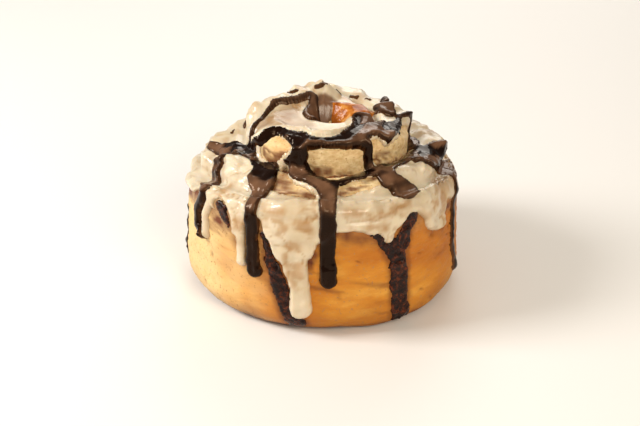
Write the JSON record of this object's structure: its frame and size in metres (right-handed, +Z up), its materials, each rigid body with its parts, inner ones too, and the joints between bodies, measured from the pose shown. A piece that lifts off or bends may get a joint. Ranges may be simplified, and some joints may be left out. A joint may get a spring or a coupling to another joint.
{
  "type": "cinnamon roll",
  "caption": "A tall round cinnamon roll with a stepped spiral top, pale cream icing that runs down its golden side and a thick web of dark chocolate sauce over it",
  "frame": {"origin": "the middle of the roll's bounding box, on the surface it stands on", "axes": "+Z up through the eye of the spiral, -Y the front seen in the picture, +X to the viewer's right"},
  "size_m": [0.1046, 0.1046, 0.0688],
  "materials": {
    "baked_dough": "soft baked bread crust, golden, with burnt streaks of leaked filling",
    "cinnamon": "grainy brown cinnamon and sugar paste",
    "icing": "soft cream icing, half glossy",
    "chocolate": "wet glossy dark chocolate sauce"
  },
  "bodies": {
    "root": {"dough_roll": "baked_dough", "cinnamon_filling": "cinnamon", "cream_icing": "icing", "chocolate_sauce": "chocolate"}
  },
  "joints": []
}
